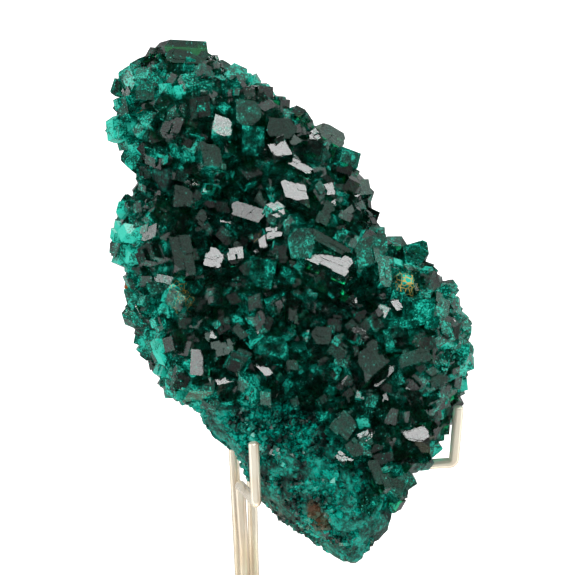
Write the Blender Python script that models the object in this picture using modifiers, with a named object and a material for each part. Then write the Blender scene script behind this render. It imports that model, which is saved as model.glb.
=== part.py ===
"""A dioptase specimen held upright in a brass wire stand.

The specimen is one solid: a rough plate of rock with short green crystals grown
all over its face. The stand is three bent wires in a turned foot: two wires end
in hooks that carry the specimen's lower edge, and the third rests against its back.

Sizes are in millimetres until they reach a mesh, which is in metres, +Z up.
The origin is the centre of the foot's underside.
"""

import math
import random

import bmesh
import bpy
import numpy as np
from mathutils import Matrix, Vector, noise
from mathutils.bvhtree import BVHTree

MM = 0.001
GAP = 0.3  # clearance between pieces that touch
FAR = 60.0  # well outside the specimen, in millimetres

# How the specimen sits in the stand. Its own frame has u across the face, v up
# the face and w out of the face.
LEAN = math.radians(15.0)
TURN = math.radians(3.3)
SPECIMEN_AT = Vector((11.5, -4.7, 83.0))

# The plate of rock: its outline in u and v, walked clockwise from the top
OUTLINE = [
    (-14.6, 43.0), (-6.8, 38.4), (-0.8, 33.4), (6.8, 28.0), (12.6, 20.4),
    (14.8, 13.2), (18.4, 7.4), (24.8, 4.2), (28.6, 1.2), (32.8, -6.4),
    (34.0, -14.8), (31.6, -21.6), (28.4, -29.2), (21.8, -34.8), (21.2, -38.8),
    (18.4, -46.6), (13.4, -52.6), (9.6, -52.6), (3.4, -46.0), (-4.4, -40.8), (-9.8, -31.8),
    (-15.6, -24.4), (-22.2, -18.4), (-26.6, -11.0), (-28.4, -2.2), (-30.0, 4.8),
    (-32.4, 11.4), (-30.4, 15.6), (-26.2, 19.8), (-29.4, 26.4), (-31.8, 31.2),
    (-32.6, 36.6), (-29.4, 42.0), (-23.2, 44.2),
]
PLATE_MIDDLE = np.array([0.0, -2.0])
PLATE_FINENESS = 4
FRONT_DEPTH = 8.0
BACK_DEPTH = 9.5
RIM_WIDTH = 10.0
# The back is thinner towards the tip: v, then the depth at the left and at the right
TIP_BACK = {"v": (-34.0, -20.0), "left": 8.5, "right": 5.0, "u": (4.0, 20.0)}
# The edge of the plate steps back behind the right hook: u, v, reach, depth
EDGE_DROP = (32.0, -25.0, 10.0, 6.5)
# Swells and hollows of the face: u, v, reach, height
SWELLS = [
    (-19.0, 32.0, 10.0, 3.0), (0.0, 22.0, 10.0, 3.5), (-24.0, 9.0, 8.0, 3.0),
    (-10.0, 13.5, 7.0, -4.0), (7.0, 7.0, 8.0, 6.0), (-8.0, -3.0, 9.0, 3.0),
    (-18.0, -12.0, 7.0, 3.5), (24.0, -9.0, 9.0, 5.5), (6.0, -19.0, 8.0, -4.5),
    (5.0, -38.0, 11.0, 2.5), (-3.0, -34.0, 8.0, 3.0), (25.0, -25.0, 6.0, 2.0), (14.0, 0.0, 5.0, -3.0),
]
ROUGHNESS = 1.5
ROUGHNESS_SIZE = 8.0
LUMPS = 46
LUMP_TRIES = 900
LUMP_SIZES = (2.6, 6.0)
LUMP_CORNERS = 16
LUMP_CORNER_REACH = (0.88, 1.04)
LUMP_SUNK = 0.6  # how deep a lump's centre lies, in radii
LUMP_SPACING = 0.6
LUMP_CLEARANCE = 0.8

# Dioptase crystals: hexagonal prisms closed by rhombohedron faces
RHOMB_SLOPE = math.radians(51.0)
HABITS = 14
HABIT_LENGTHS = (0.72, 1.05)
HABIT_UNEVEN = (0.85, 1.12)
UNCUT_LENGTH = 8
GROWTH_SEED = 7
GROWTH_TRIES = 9000
LARGEST = 3.9
USUAL = 2.3
SMALLEST = 1.5
CROWDING = 0.82
WANDER = 0.55  # how far a crystal's long axis strays from the rock's normal
CLEAR_REACH = 1.3  # how far a crystal is taken to reach beside a wire, in radii
# How far a crystal's centre stands off the rock, in radii, on the face and round the rim
STANDS_OFF = {"face": 0.22, "rim": -0.15, "face_looks": 0.4}
KEPT_FACES = 0.56
# Where no crystals grow: the back, the tip under a line in u and v, and the left edge
BARE_BACK = -0.45
BARE_LINE = [(-12.0, -21.0), (2.0, -21.5), (10.0, -27.0), (14.0, -31.0), (20.0, -36.0)]
BARE_EDGE = {"u": -24.0, "v": (-14.0, 30.0), "looks": 0.3}
# The specimen's leading crystals, each a distorted block with one broad face. The face's
# middle in u and v, its length and width, the way its length runs in the face plane, the
# way it looks (its azimuth and its tilt from w) and its slant, in millimetres and degrees
LEADING_CRYSTALS = [
    (-19.1, 44.6, 8.4, 4.6, 0, 50, 23, -6), (-14.2, 42.5, 3.2, 2.5, 100, 70, 30, 10),
    (-32.6, 37.9, 2.9, 1.9, 70, 170, 35, 10), (-26.7, 36.8, 3.4, 3.2, 0, 60, 20, 5),
    (-12.3, 30.3, 4.0, 3.4, 80, 90, 30, 12), (-6.6, 36.6, 3.2, 2.7, 90, 175, 30, 5),
    (-7.3, 32.8, 4.9, 4.8, 90, 48, 20, 4), (-6.4, 27.5, 5.5, 4.2, 90, 20, 8, 3),
    (-1.2, 30.1, 5.3, 3.6, 0, 50, 22, 15), (-1.4, 25.9, 3.4, 3.2, 15, 90, 31, -10),
    (2.2, 22.9, 4.9, 1.5, -33, 88, 31, 20), (8.5, 29.0, 5.3, 3.0, -25, 25, 33, 15),
    (12.6, 23.7, 3.2, 1.5, 75, 30, 33, 20), (10.0, 24.8, 3.4, 0.9, 5, 90, 31, 20),
    (1.4, 18.0, 4.9, 3.4, -20, 90, 31, -35), (-7.7, 14.3, 8.0, 2.7, -17, 172, 28, 15),
    (-4.8, 16.8, 2.7, 2.3, 60, 50, 24, 12), (-2.4, 10.4, 2.7, 2.1, 8, 90, 31, -5),
    (-4.5, 8.6, 2.3, 2.1, 40, 95, 30, 15), (-13.8, 5.6, 4.2, 3.4, 80, 92, 31, 6),
    (-23.3, 1.6, 3.8, 1.5, -10, 175, 29, 20), (-26.1, 10.2, 3.6, 2.3, 20, 172, 30, 25),
    (-19.7, 6.4, 6.5, 3.8, 100, 52, 21, 8), (-19.5, 17.2, 3.8, 3.4, 90, 50, 20, 6),
    (-29.2, 25.2, 5.1, 4.8, 60, 150, 35, 10), (-14.2, 24.8, 4.4, 3.6, 100, 45, 22, 12),
    (2.6, 8.3, 5.7, 4.9, 100, 240, 14, 8), (7.1, 8.8, 8.7, 1.9, -28, 45, 24, 20),
    (8.5, 5.2, 6.8, 3.8, -28, 90, 31, 10), (10.9, -1.6, 3.6, 2.5, -20, 90, 31, -25),
    (15.9, 7.1, 6.5, 5.1, 20, 48, 20, 15), (18.3, 3.1, 6.1, 2.7, 95, 24, 32, 10),
    (22.9, 4.8, 3.2, 1.5, 80, 20, 33, 20), (24.4, 6.6, 5.1, 4.2, 20, 60, 30, 15),
    (24.8, -4.7, 5.5, 4.6, 10, 30, 10, 12), (29.2, -4.1, 4.4, 2.9, 80, 15, 32, 12),
    (27.1, 2.9, 2.9, 2.3, 60, 60, 30, 12), (6.4, -9.0, 3.8, 3.4, 0, 48, 22, 6),
    (15.9, -13.4, 5.7, 4.9, 40, 52, 21, 10), (17.8, -16.6, 5.1, 1.7, 44, 175, 30, 0),
    (23.8, -13.0, 6.3, 2.5, 18, 50, 20, 10), (26.7, -12.4, 3.6, 1.3, 88, 175, 28, 5),
    (33.3, -6.4, 3.2, 2.7, -40, 30, 36, 12), (-17.0, -14.0, 4.8, 2.7, 88, 175, 30, 4),
    (-3.1, -10.9, 5.9, 3.6, -8, 120, 14, 5), (-4.8, -14.9, 4.6, 1.5, -50, 90, 31, 5),
    (-9.0, -8.3, 3.0, 1.7, -45, 48, 22, 15), (-15.9, -18.1, 4.6, 2.9, 0, 60, 26, 10),
    (24.0, -27.3, 5.3, 3.6, -8, 92, 31, -12), (10.9, -25.9, 4.2, 3.8, 55, 48, 22, 8),
    (10.2, -32.0, 2.3, 1.5, -40, 90, 31, 12), (16.8, -34.7, 4.9, 2.1, -70, 50, 24, 10),
    (20.4, -36.6, 4.9, 4.4, 65, 45, 20, 5), (15.3, -40.6, 3.8, 3.0, 60, 200, 10, 5),
    (12.6, -30.3, 3.4, 2.7, -50, 48, 24, 8), (30.9, -19.5, 3.4, 2.3, 30, 20, 32, 12),
    (-16.2, 13.2, 2.9, 1.9, 60, 50, 22, 12), (12.3, 17.2, 1.9, 1.1, -20, 90, 31, 15),
    (20.6, -3.3, 2.3, 1.5, -60, 90, 30, 12), (16.1, 10.7, 2.7, 1.9, 60, 90, 31, 15),
    (7.3, 14.3, 4.0, 1.7, 65, 48, 22, 8), (11.3, 14.2, 3.2, 1.3, 35, 20, 33, 10),
    (1.0, -4.5, 3.8, 1.5, 85, 60, 26, 5), (1.0, -14.5, 2.5, 1.9, 10, 48, 22, 12),
    (-4.8, 2.8, 5.1, 4.6, 80, 20, 8, 3), (28.4, -17.0, 3.4, 2.5, 20, 52, 22, 10),
    (-11.9, -11.5, 3.8, 2.3, 15, 20, 32, 12),
]
BLOCK_DEPTH = (2.5, 0.9)  # millimetres, and a share of the face's mean side
BLOCK_RISE = (1.7, 0.5)  # the face's height over the rock, the same way
BLOCK_RADIUS = 0.6  # the block's reach, as a share of the face's mean side
BLOCK_SPREAD = 1.12  # how much wider a block is at its foot
BLOCK_CUTS = 3
BLOCK_CUT_DEPTH = (0.08, 0.28)
BLOCK_CUT_WAY = {"across": (0.4, 1.0), "up": (0.0, 0.4)}

# The stand: three wires, placed in the object's own frame
WIRE_RADIUS = 1.0
BEND = 2.4
BEND_STEPS = 6
WIRE_FOOT = 4.0
BUNDLE = {"left": (0.0, -1.0), "right": (1.15, 1.0), "back": (-1.15, 1.0)}
LEFT_HOOK = {"at": (3.5, -25.7), "arm": (45.2, 45.2), "top": 59.0}
RIGHT_HOOK = {"at": (42.7, -10.2), "arm": (46.2, 46.5), "top": 59.2}
BACK_ELBOW = 52.0
BACK_REST = (-10.5, 6.0)  # where the back wire's end lies, in u and v
BACK_SOUNDINGS = {"u": (-12.0, -10.5, -9.0), "v": range(-2, 9)}
# The foot's half section, as radius and height
FOOT_PROFILE = [
    (0, 11.0), (5.2, 11.0), (6.0, 10.2), (6.0, 6.6), (6.6, 5.6), (7.8, 5.0),
    (32.6, 5.0), (33.6, 4.5), (34.0, 3.4), (34.0, 0.6), (33.4, 0), (0, 0),
]
FOOT_STEPS = 44
SOCKET = {"centre": (0.0, 0.33), "radius": 2.7, "floor": 3.6, "top": 15.0, "sides": 24}


def clear_scene():
    for obj in list(bpy.data.objects):
        bpy.data.objects.remove(obj)


def collection(name):
    made = bpy.data.collections.new(name)
    bpy.context.scene.collection.children.link(made)
    return made


def material(name, colour, roughness, metallic):
    made = bpy.data.materials.new(name)
    made.use_nodes = True
    shader = made.node_tree.nodes["Principled BSDF"]
    shader.inputs["Base Color"].default_value = (*colour, 1)
    shader.inputs["Roughness"].default_value = roughness
    shader.inputs["Metallic"].default_value = metallic
    return made


def mesh_object(name, mesh, home):
    made = bpy.data.objects.new(name, mesh)
    home.objects.link(made)
    return made


def mesh_from(source, name):
    """The evaluated mesh of an object, on its own."""
    bpy.context.view_layer.update()
    graph = bpy.context.evaluated_depsgraph_get()
    mesh = bpy.data.meshes.new_from_object(source.evaluated_get(graph))
    mesh.name = name
    return mesh


def specimen_placement():
    """The matrix that takes the specimen's own frame to the object's frame."""
    across = Vector((1, 0, 0))
    up = Vector((0, math.sin(LEAN), math.cos(LEAN)))
    out = Vector((0, -math.cos(LEAN), math.sin(LEAN)))
    turned_across = across * math.cos(TURN) - up * math.sin(TURN)
    turned_up = across * math.sin(TURN) + up * math.cos(TURN)
    basis = Matrix((turned_across, turned_up, out)).transposed().to_4x4()
    return Matrix.Translation(SPECIMEN_AT * MM) @ basis


# The plate of rock


def outline_reach(azimuth):
    """How far the outline lies from the plate's middle, at each azimuth."""
    corners = np.array(OUTLINE) - PLATE_MIDDLE
    angles = np.arctan2(corners[:, 1], corners[:, 0])
    order = np.argsort(angles)
    reach = np.hypot(corners[:, 0], corners[:, 1])[order]
    return np.interp(azimuth, angles[order], reach, period=2 * math.pi)


def distance_to_outline(points):
    """How far each point of the face lies from the outline."""
    corners = np.array(OUTLINE)
    nearest = np.full(len(points), np.inf)
    for start, end in zip(corners, np.roll(corners, -1, axis=0)):
        side = end - start
        share = np.clip((points - start) @ side / (side @ side), 0, 1)
        gap = np.linalg.norm(points - start - share[:, None] * side, axis=1)
        nearest = np.minimum(nearest, gap)
    return nearest


def face_depth(points, rise):
    """Height of the plate's face over its rim, with the swells."""
    depth = FRONT_DEPTH * rise
    for u, v, reach, height in SWELLS:
        away = np.hypot(points[:, 0] - u, points[:, 1] - v)
        depth += height * rise * np.exp(-((away / reach) ** 2))
    return depth


def back_depth(points, rise):
    """Depth of the plate's back, thinner towards the tip, where the right arm passes."""
    tip = np.interp(points[:, 0], TIP_BACK["u"], (TIP_BACK["left"], TIP_BACK["right"]))
    upper = np.clip(np.interp(points[:, 1], TIP_BACK["v"], (0, 1)), 0, 1)
    return rise * (tip + (BACK_DEPTH - tip) * upper)


def edge_drop(points):
    """How far the plate's middle surface steps back."""
    u, v, reach, depth = EDGE_DROP
    away = np.hypot(points[:, 0] - u, points[:, 1] - v)
    return depth * np.exp(-((away / reach) ** 2))


def roughness(place):
    """A smooth random step in all three directions."""
    apart = Vector((19.1, 7.3, 31.7))
    return Vector([noise.noise(place + apart * axis) for axis in range(3)])


def rock_plate(home, fineness):
    """The rock that carries the crystals: a ball flattened to the outline."""
    form = bmesh.new()
    bmesh.ops.create_icosphere(form, subdivisions=fineness, radius=1)
    ball = np.array([v.co for v in form.verts])
    spread = np.hypot(ball[:, 0], ball[:, 1])
    azimuth = np.arctan2(ball[:, 1], ball[:, 0])
    reach = outline_reach(azimuth) * np.arcsin(np.clip(spread, 0, 1)) * 2 / math.pi
    flat = np.stack([np.cos(azimuth), np.sin(azimuth)], axis=1) * reach[:, None]
    flat += PLATE_MIDDLE
    inside = np.clip(distance_to_outline(flat) / RIM_WIDTH, 0, 1)
    rise = np.sqrt(1 - (1 - inside) ** 2)
    front = ball[:, 2] > 0
    height = np.where(front, face_depth(flat, rise), -back_depth(flat, rise))
    height -= edge_drop(flat)
    for vertex, (u, v), w in zip(form.verts, flat, height):
        place = Vector((u, v, w))
        vertex.co = (place + roughness(place / ROUGHNESS_SIZE) * ROUGHNESS) * MM
    mesh = bpy.data.meshes.new("plate")
    form.to_mesh(mesh)
    form.free()
    return mesh_object("plate", mesh, home)


# Crystals


def cut_face(form, normal, reach):
    """Cuts a crystal flat at a plane, and closes the cut."""
    cut = bmesh.ops.bisect_plane(
        form,
        geom=form.verts[:] + form.edges[:] + form.faces[:],
        plane_co=normal * reach,
        plane_no=normal,
        clear_outer=True,
    )
    rim = [e for e in cut["geom_cut"] if isinstance(e, bmesh.types.BMEdge)]
    bmesh.ops.contextual_create(form, geom=rim)


def crystal_habit(dice):
    """One crystal of unit radius: a hexagonal prism cut by six rhombohedron faces."""
    form = bmesh.new()
    bmesh.ops.create_cone(
        form, cap_ends=True, segments=6, radius1=1, radius2=1, depth=UNCUT_LENGTH
    )
    length = dice.uniform(*HABIT_LENGTHS)
    for end, first in ((1, 30), (-1, 90)):
        for side in range(3):
            azimuth = math.radians(first + 120 * side)
            across = math.sin(RHOMB_SLOPE)
            normal = Vector((math.cos(azimuth) * across, math.sin(azimuth) * across, 0))
            normal.z = end * math.cos(RHOMB_SLOPE)
            cut_face(form, normal, length * dice.uniform(*HABIT_UNEVEN))
    bmesh.ops.recalc_face_normals(form, faces=form.faces)
    mesh = bpy.data.meshes.new("habit")
    form.to_mesh(mesh)
    form.free()
    return mesh


def crystal_block(dice, length, width, slant):
    """A distorted crystal, its broad face centred on the origin and looking up."""
    depth = BLOCK_DEPTH[0] + BLOCK_DEPTH[1] * math.sqrt(length * width)
    lean = math.tan(math.radians(slant))
    form = bmesh.new()
    bmesh.ops.create_cube(form, size=1)
    for vertex in form.verts:
        x, y, z = vertex.co
        spread = 1 if z > 0 else BLOCK_SPREAD
        x = (x * length + y * width * lean) * spread
        vertex.co = (x, y * width * spread, (z - 0.5) * depth)
    for _ in range(BLOCK_CUTS):
        x, y = dice.choice((-0.5, 0.5)), dice.choice((-0.5, 0.5))
        corner = Vector((x * length + y * width * lean, y * width, 0))
        across = [side * dice.uniform(*BLOCK_CUT_WAY["across"]) for side in (x, y)]
        normal = Vector((*across, dice.uniform(*BLOCK_CUT_WAY["up"]))).normalized()
        depth = dice.uniform(*BLOCK_CUT_DEPTH) * min(length, width)
        cut_face(form, normal, corner.dot(normal) - depth)
    bmesh.ops.recalc_face_normals(form, faces=form.faces)
    mesh = bpy.data.meshes.new("block")
    form.to_mesh(mesh)
    form.free()
    return mesh


def face_turn(along, azimuth, tilt):
    """Turns a block so that its face looks the given way and its length runs along."""
    along, azimuth, tilt = (math.radians(a) for a in (along, azimuth, tilt))
    return (
        Matrix.Rotation(azimuth, 4, "Z")
        @ Matrix.Rotation(tilt, 4, "Y")
        @ Matrix.Rotation(along - azimuth, 4, "Z")
    )


def random_turn(normal, dice):
    """Turns a crystal's long axis roughly along the rock's normal."""
    spin = dice.uniform(0, 2 * math.pi)
    sideways = Vector([dice.gauss(0, WANDER) for _ in range(3)])
    upright = (normal + sideways).normalized().to_track_quat("Z", "Y")
    return upright.to_matrix().to_4x4() @ Matrix.Rotation(spin, 4, "Z")


def distance_to_run(point, run):
    start, end = run
    side = end - start
    share = max(0.0, min(1.0, (point - start).dot(side) / side.dot(side)))
    return (point - start - side * share).length


def clear_of_wires(centre, size, runs):
    """Whether a crystal in the specimen's frame keeps clear of the stand."""
    in_stand = (specimen_placement() @ (centre * MM)) / MM
    reach = CLEAR_REACH * size + WIRE_RADIUS + GAP
    return all(distance_to_run(in_stand, run) > reach for run in runs)


def surface_samples(mesh, dice, count):
    """Random places on a mesh, each with its normal."""
    mesh.calc_loop_triangles()
    triangles = list(mesh.loop_triangles)
    weights = [t.area for t in triangles]
    for triangle in dice.choices(triangles, weights, k=count):
        corners = [mesh.vertices[i].co for i in triangle.vertices]
        a, b = sorted((dice.random(), dice.random()))
        place = corners[0] * a + corners[1] * (b - a) + corners[2] * (1 - b)
        yield place / MM, triangle.normal.copy()


def is_bare(place, normal):
    """The back, the tip and the broken left edge carry no crystals."""
    if normal.z < BARE_BACK:
        return True
    line_u, line_v = zip(*BARE_LINE)
    if place.y < np.interp(place.x, line_u, line_v) and place.x < line_u[-1]:
        return True
    low, high = BARE_EDGE["v"]
    by_edge = place.x < BARE_EDGE["u"] and low < place.y < high
    return by_edge and normal.z < BARE_EDGE["looks"]


def leading_crystals(plate, dice, runs):
    """Centre, radius, placing and form of the leading crystals that clear the wires."""
    rock = BVHTree.FromObject(plate, bpy.context.evaluated_depsgraph_get())
    made = []
    for u, v, length, width, along, azimuth, tilt, slant in LEADING_CRYSTALS:
        place = rock.ray_cast(Vector((u, v, FAR)) * MM, Vector((0, 0, -1)))[0]
        if place is None:
            place = rock.find_nearest(Vector((u, v, 0)) * MM)[0]
        side = math.sqrt(length * width)
        size = BLOCK_RADIUS * side
        block = crystal_block(dice, length, width, slant)
        face = Vector((u, v, place.z / MM + BLOCK_RISE[0] + BLOCK_RISE[1] * side))
        turn = face_turn(along, azimuth, tilt)
        centre = face - turn.to_3x3() @ Vector((0, 0, size))
        placed = Matrix.Translation(face * MM) @ turn @ Matrix.Scale(MM, 4)
        if clear_of_wires(face, size, runs):
            made.append((centre, size, placed, block))
    return made


def crystal_growth(plate, home, runs):
    """All crystals as one helper mesh of closed forms."""
    dice = random.Random(GROWTH_SEED)
    habits = [crystal_habit(dice) for _ in range(HABITS)]
    crystals = leading_crystals(plate, dice, runs)
    for place, normal in surface_samples(plate.data, dice, GROWTH_TRIES):
        size = dice.triangular(SMALLEST, LARGEST, USUAL)
        turn = random_turn(normal, dice)
        habit = dice.choice(habits)
        on_face = normal.z > STANDS_OFF["face_looks"]
        centre = place + normal * size * STANDS_OFF["face" if on_face else "rim"]
        crowded = any(
            (centre - c).length < CROWDING * (size + s) for c, s, _, _ in crystals
        )
        if crowded or is_bare(place, normal) or not clear_of_wires(centre, size, runs):
            continue
        placed = Matrix.Translation(centre * MM) @ turn @ Matrix.Scale(size * MM, 4)
        crystals.append((centre, size, placed, habit))
    form = bmesh.new()
    for _, _, placed, shape in crystals:
        first = len(form.verts)
        form.from_mesh(shape)
        form.verts.ensure_lookup_table()
        bmesh.ops.transform(form, matrix=placed, verts=form.verts[first:])
    mesh = bpy.data.meshes.new("growth")
    form.to_mesh(mesh)
    form.free()
    return mesh_object("growth", mesh, home)


def broken_lump(dice):
    """A lump of broken rock of unit radius."""
    form = bmesh.new()
    for _ in range(LUMP_CORNERS):
        way = Vector([dice.gauss(0, 1) for _ in range(3)]).normalized()
        form.verts.new(way * dice.uniform(*LUMP_CORNER_REACH))
    hull = bmesh.ops.convex_hull(form, input=form.verts[:])
    inner = {v for v in hull["geom_interior"] if isinstance(v, bmesh.types.BMVert)}
    bmesh.ops.delete(form, geom=list(inner), context="VERTS")
    bmesh.ops.recalc_face_normals(form, faces=form.faces)
    mesh = bpy.data.meshes.new("lump")
    form.to_mesh(mesh)
    form.free()
    return mesh


def broken_rock(plate, home, runs):
    """Lumps and ledges of rock on the bare back, tip and edge, as one helper mesh."""
    dice = random.Random(GROWTH_SEED + 1)
    form = bmesh.new()
    lumps = []
    for place, normal in surface_samples(plate.data, dice, LUMP_TRIES):
        size = dice.uniform(*LUMP_SIZES)
        centre = place - normal * size * LUMP_SUNK
        apart = all((centre - c).length > LUMP_SPACING * (size + s) for c, s in lumps)
        if len(lumps) == LUMPS or not apart or not is_bare(place, normal):
            continue
        if not clear_of_wires(centre, size * LUMP_CLEARANCE, runs):
            continue
        lumps.append((centre, size))
        first = len(form.verts)
        form.from_mesh(broken_lump(dice))
        form.verts.ensure_lookup_table()
        placed = Matrix.Translation(centre * MM) @ Matrix.Scale(size * MM, 4)
        bmesh.ops.transform(form, matrix=placed, verts=form.verts[first:])
    mesh = bpy.data.meshes.new("lumps")
    form.to_mesh(mesh)
    form.free()
    return mesh_object("lumps", mesh, home)


def keep_outer_skin(mesh):
    """Drops every loose shell but the largest: the sealed pockets between crystals."""
    form = bmesh.new()
    form.from_mesh(mesh)
    left = set(form.verts)
    shells = []
    while left:
        shell = [left.pop()]
        for vert in shell:
            near = {edge.other_vert(vert) for edge in vert.link_edges} & left
            left -= near
            shell.extend(near)
        shells.append(shell)
    shells.sort(key=len)
    for shell in shells[:-1]:
        bmesh.ops.delete(form, geom=shell, context="VERTS")
    form.to_mesh(mesh)
    form.free()


def make_specimen(plate, runs, home, helpers):
    """The rock plate, its lumps and its crystals, fused into one solid."""
    grown = [crystal_growth(plate, helpers, runs), broken_rock(plate, helpers, runs)]
    for helper in grown:
        union = plate.modifiers.new(helper.name, "BOOLEAN")
        union.operation = "UNION"
        union.object = helper
        union.use_self = True
    mesh = mesh_from(plate, "dioptase_specimen")
    keep_outer_skin(mesh)
    for helper in (plate, *grown):
        bpy.data.objects.remove(helper)
    fused = mesh_object("dioptase_specimen", mesh, home)
    fused.matrix_world = specimen_placement()
    fewer = fused.modifiers.new("fewer_faces", "DECIMATE")
    fewer.ratio = KEPT_FACES
    fewer.use_collapse_triangulate = True
    mesh.materials.clear()
    mesh.materials.append(material("dioptase", (0.0, 0.16, 0.11), 0.12, 0.0))
    return fused


# The stand


def hook_corners(name, hook):
    """A wire that rises from the foot, runs out as an arm and turns up in a hook."""
    x, y = BUNDLE[name]
    start, end = hook["arm"]
    return [
        Vector((x, y, WIRE_FOOT)),
        Vector((x, y, start)),
        Vector((*hook["at"], end)),
        Vector((*hook["at"], hook["top"])),
    ]


def back_corners(plate):
    """The wire that rises behind the specimen and leans against its back."""
    rock = BVHTree.FromObject(plate, bpy.context.evaluated_depsgraph_get())
    deepest = 0
    for v in BACK_SOUNDINGS["v"]:
        for u in BACK_SOUNDINGS["u"]:
            behind = Vector((u, v, -FAR)) * MM
            deepest = min(deepest, rock.ray_cast(behind, Vector((0, 0, 1)))[0].z / MM)
    rest = Vector((*BACK_REST, deepest - WIRE_RADIUS - GAP))
    x, y = BUNDLE["back"]
    return [
        Vector((x, y, WIRE_FOOT)),
        Vector((x, y, BACK_ELBOW)),
        (specimen_placement() @ (rest * MM)) / MM,
    ]


def rounded(corners):
    """A route through the corners with a round bend at each."""
    route = [corners[0]]
    for before, corner, after in zip(corners, corners[1:], corners[2:]):
        back = (before - corner).normalized()
        ahead = (after - corner).normalized()
        half = back.angle(ahead) / 2
        centre = corner + (back + ahead).normalized() * BEND / math.sin(half)
        start = corner + back * BEND / math.tan(half) - centre
        end = corner + ahead * BEND / math.tan(half) - centre
        for step in range(BEND_STEPS + 1):
            route.append(centre + start.slerp(end, step / BEND_STEPS))
    route.append(corners[-1])
    return route


def make_wire(name, corners, finish, home):
    curve = bpy.data.curves.new(name, "CURVE")
    curve.dimensions = "3D"
    curve.bevel_depth = WIRE_RADIUS * MM
    curve.bevel_resolution = 3
    curve.use_fill_caps = True
    spline = curve.splines.new("POLY")
    route = rounded(corners)
    spline.points.add(len(route) - 1)
    for point, place in zip(spline.points, route):
        point.co = (*(place * MM), 1)
    curve.materials.append(finish)
    made = bpy.data.objects.new(name, curve)
    home.objects.link(made)
    return made


def make_foot(finish, home, helpers):
    """A turned foot with a low boss, drilled for the bundle of wires."""
    mesh = bpy.data.meshes.new("foot")
    points = [(x * MM, 0, z * MM) for x, z in FOOT_PROFILE]
    mesh.from_pydata(points, [(i, i + 1) for i in range(len(points) - 1)], [])
    foot = mesh_object("foot", mesh, home)
    mesh.materials.append(finish)
    turn = foot.modifiers.new("turned", "SCREW")
    turn.steps = turn.render_steps = FOOT_STEPS
    turn.use_merge_vertices = True
    turn.merge_threshold = 0.00001
    form = bmesh.new()
    depth = SOCKET["top"] - SOCKET["floor"]
    bmesh.ops.create_cone(
        form,
        cap_ends=True,
        segments=SOCKET["sides"],
        radius1=SOCKET["radius"] * MM,
        radius2=SOCKET["radius"] * MM,
        depth=depth * MM,
    )
    drill = mesh_object("drill", bpy.data.meshes.new("drill"), helpers)
    form.to_mesh(drill.data)
    form.free()
    drill.location = Vector((*SOCKET["centre"], SOCKET["floor"] + depth / 2)) * MM
    drill.hide_render = True
    drill.display_type = "WIRE"
    bore = foot.modifiers.new("socket", "BOOLEAN")
    bore.operation = "DIFFERENCE"
    bore.object = drill
    return foot


clear_scene()
parts = collection("dioptase_on_stand")
helpers = collection("helpers")
plate = rock_plate(helpers, PLATE_FINENESS)
routes = {
    "left_hook_wire": hook_corners("left", LEFT_HOOK),
    "right_hook_wire": hook_corners("right", RIGHT_HOOK),
    "back_rest_wire": back_corners(plate),
}
runs = [run for route in routes.values() for run in zip(route, route[1:])]
make_specimen(plate, runs, parts, helpers)
brass = material("brass", (0.80, 0.66, 0.44), 0.22, 1.0)
for name, corners in routes.items():
    make_wire(name, corners, brass, parts)
make_foot(brass, parts, helpers)
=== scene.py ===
import math
import random

import bmesh
import bpy
import numpy as np
from mathutils import Matrix, Vector, kdtree, noise
from mathutils.bvhtree import BVHTree


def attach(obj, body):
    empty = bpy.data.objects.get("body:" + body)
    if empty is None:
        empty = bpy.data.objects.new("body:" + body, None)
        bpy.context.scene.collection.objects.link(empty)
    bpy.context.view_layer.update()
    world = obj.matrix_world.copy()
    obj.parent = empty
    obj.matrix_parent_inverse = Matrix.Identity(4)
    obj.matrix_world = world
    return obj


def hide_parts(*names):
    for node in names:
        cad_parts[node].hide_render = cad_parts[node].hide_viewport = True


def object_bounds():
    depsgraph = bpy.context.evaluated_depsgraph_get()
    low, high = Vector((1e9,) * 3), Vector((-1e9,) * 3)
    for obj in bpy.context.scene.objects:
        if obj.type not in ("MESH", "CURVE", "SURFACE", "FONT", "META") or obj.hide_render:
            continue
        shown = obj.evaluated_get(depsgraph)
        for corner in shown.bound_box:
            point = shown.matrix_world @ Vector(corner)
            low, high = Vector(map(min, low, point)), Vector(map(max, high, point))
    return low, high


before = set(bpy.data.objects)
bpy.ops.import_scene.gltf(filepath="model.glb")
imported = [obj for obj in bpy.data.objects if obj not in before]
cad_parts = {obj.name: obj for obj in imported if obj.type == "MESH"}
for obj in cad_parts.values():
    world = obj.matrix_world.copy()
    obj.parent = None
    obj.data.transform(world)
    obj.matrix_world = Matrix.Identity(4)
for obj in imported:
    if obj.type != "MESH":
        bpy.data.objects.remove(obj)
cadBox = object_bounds()
mm = 0.001
far = 60.0  # millimetres, well clear of the specimen, where rays towards it start

# How the specimen leans. Its own directions are u across, v up and w out of the face.
pose = {"lean": 15.0, "turn": 3.3, "at": (11.5, -4.7, 83.0)}


def specimenPlacing():
    lean, turn = math.radians(pose["lean"]), math.radians(pose["turn"])
    across = Vector((1, 0, 0))
    up = Vector((0, math.sin(lean), math.cos(lean)))
    out = Vector((0, -math.cos(lean), math.sin(lean)))
    right = across * math.cos(turn) - up * math.sin(turn)
    over = across * math.sin(turn) + up * math.cos(turn)
    axes = Matrix((right, over, out)).transposed().to_4x4()
    return Matrix.Translation(Vector(pose["at"]) * mm) @ axes


placing = specimenPlacing()


# Shader arithmetic: a socket that adds Math nodes when it is used in an expression

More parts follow.
